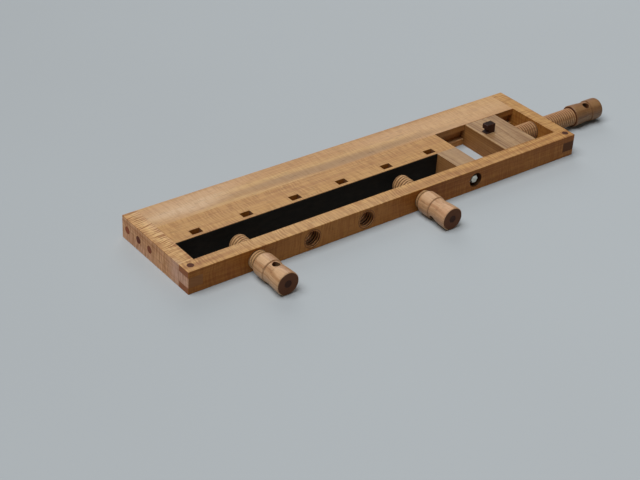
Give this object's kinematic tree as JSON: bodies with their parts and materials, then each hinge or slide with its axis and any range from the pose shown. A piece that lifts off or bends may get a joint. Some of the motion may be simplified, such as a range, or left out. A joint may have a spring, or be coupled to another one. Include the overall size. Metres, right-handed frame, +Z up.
{
  "type": "portable bench-top workbench",
  "caption": "Slim wooden bench top to stand on a table, with a twin-screw face vise, a wagon vise, a row of dog holes and a bench dog.",
  "frame": {"origin": "middle of the bench's underside", "axes": "+X along the bench towards the wagon vise, +Y from the face vise to the back, +Z up"},
  "size_m": [0.9235, 0.2673, 0.056],
  "materials": {
    "board_wood": "satin oiled curly hardwood, honey-gold top",
    "rail_wood": "satin oiled curly hardwood, browner on its faces",
    "cap_wood": "satin oiled curly hardwood",
    "block_wood": "satin oiled plain hardwood, paler",
    "thread_wood": "turned and threaded hardwood, darker in the roots",
    "hub_wood": "turned hardwood, satin, dark end grain",
    "plug_wood": "dark end grain",
    "peg_wood": "dark reddish hardwood dowel",
    "garter_wood": "plain hardwood dowel",
    "dog_wood": "near-black oiled hardwood",
    "lining_leather": "matt black",
    "zinc_steel": "zinc plated",
    "catch_brass": "plain",
    "catch_steel": "bright"
  },
  "bodies": {
    "bench": {"front_rail": "rail_wood", "left_end_cap": "cap_wood", "right_end_cap": "cap_wood", "core_board": "board_wood", "dog_hole_strip": "board_wood", "spacer_block": "rail_wood", "jaw_lining": "lining_leather", "left_corner_peg": "peg_wood", "right_corner_peg": "peg_wood", "left_end_peg_front": "peg_wood", "left_end_peg_middle": "peg_wood", "left_end_peg_back": "peg_wood", "right_end_peg_middle": "peg_wood", "right_end_peg_back": "peg_wood", "spacer_bolt": "zinc_steel", "spacer_washer": "zinc_steel", "spacer_barrel_nut": "zinc_steel"},
    "wagon_block": {"wagon_block": "block_wood", "wagon_garter_pin_front": "garter_wood", "wagon_garter_pin_back": "garter_wood"},
    "wagon_screw": {"wagon_screw_shaft": "thread_wood", "wagon_screw_hub": "hub_wood", "wagon_screw_plug": "plug_wood"},
    "left_vise_travel": {"left_vise_screw_plug": "plug_wood"},
    "left_vise_screw": {"left_vise_screw_shaft": "thread_wood", "left_vise_screw_hub": "hub_wood"},
    "right_vise_travel": {"right_vise_screw_plug": "plug_wood"},
    "right_vise_screw": {"right_vise_screw_shaft": "thread_wood", "right_vise_screw_hub": "hub_wood"},
    "bench_dog": {"bench_dog": "dog_wood", "dog_catch_barrel": "catch_brass", "dog_catch_spring": "catch_steel", "dog_catch_ball": "catch_steel"}
  },
  "joints": [
    {"name": "wagon_slide", "type": "slide", "parent": "bench", "child": "wagon_block", "axis": [-1, 0, 0], "range_m": [-0.04301, 0.06801]},
    {"name": "wagon_screw_turn", "type": "hinge", "parent": "wagon_block", "child": "wagon_screw", "pos_m": [0.325, -0.01585, 0.01975], "axis": [-1, 0, 0], "range_deg": [-3047.2, 4818.9]},
    {"name": "left_vise_travel", "type": "slide", "parent": "bench", "child": "left_vise_travel", "axis": [0, 1, 0], "range_m": [-0.02821, 0.01341]},
    {"name": "left_vise_turn", "type": "hinge", "parent": "left_vise_travel", "child": "left_vise_screw", "pos_m": [-0.2723, -0.1078, 0.01975], "axis": [0, 1, 0], "range_deg": [-1998.4, 949.6]},
    {"name": "right_vise_travel", "type": "slide", "parent": "bench", "child": "right_vise_travel", "axis": [0, 1, 0], "range_m": [-0.03451, 0.00711]},
    {"name": "right_vise_turn", "type": "hinge", "parent": "right_vise_travel", "child": "right_vise_screw", "pos_m": [0.052, -0.1015, 0.01975], "axis": [0, 1, 0], "range_deg": [-2444.9, 503.1]},
    {"name": "dog_lift", "type": "slide", "parent": "wagon_block", "child": "bench_dog", "axis": [0, 0, 1], "range_m": [-0.0165, 0.034]}
  ],
  "couplings": [
    {"joint": "wagon_slide", "follows": "wagon_screw_turn", "m_per_rad": 0.00080851},
    {"joint": "left_vise_travel", "follows": "left_vise_turn", "m_per_rad": 0.00080851},
    {"joint": "right_vise_travel", "follows": "right_vise_turn", "m_per_rad": 0.00080851}
  ]
}
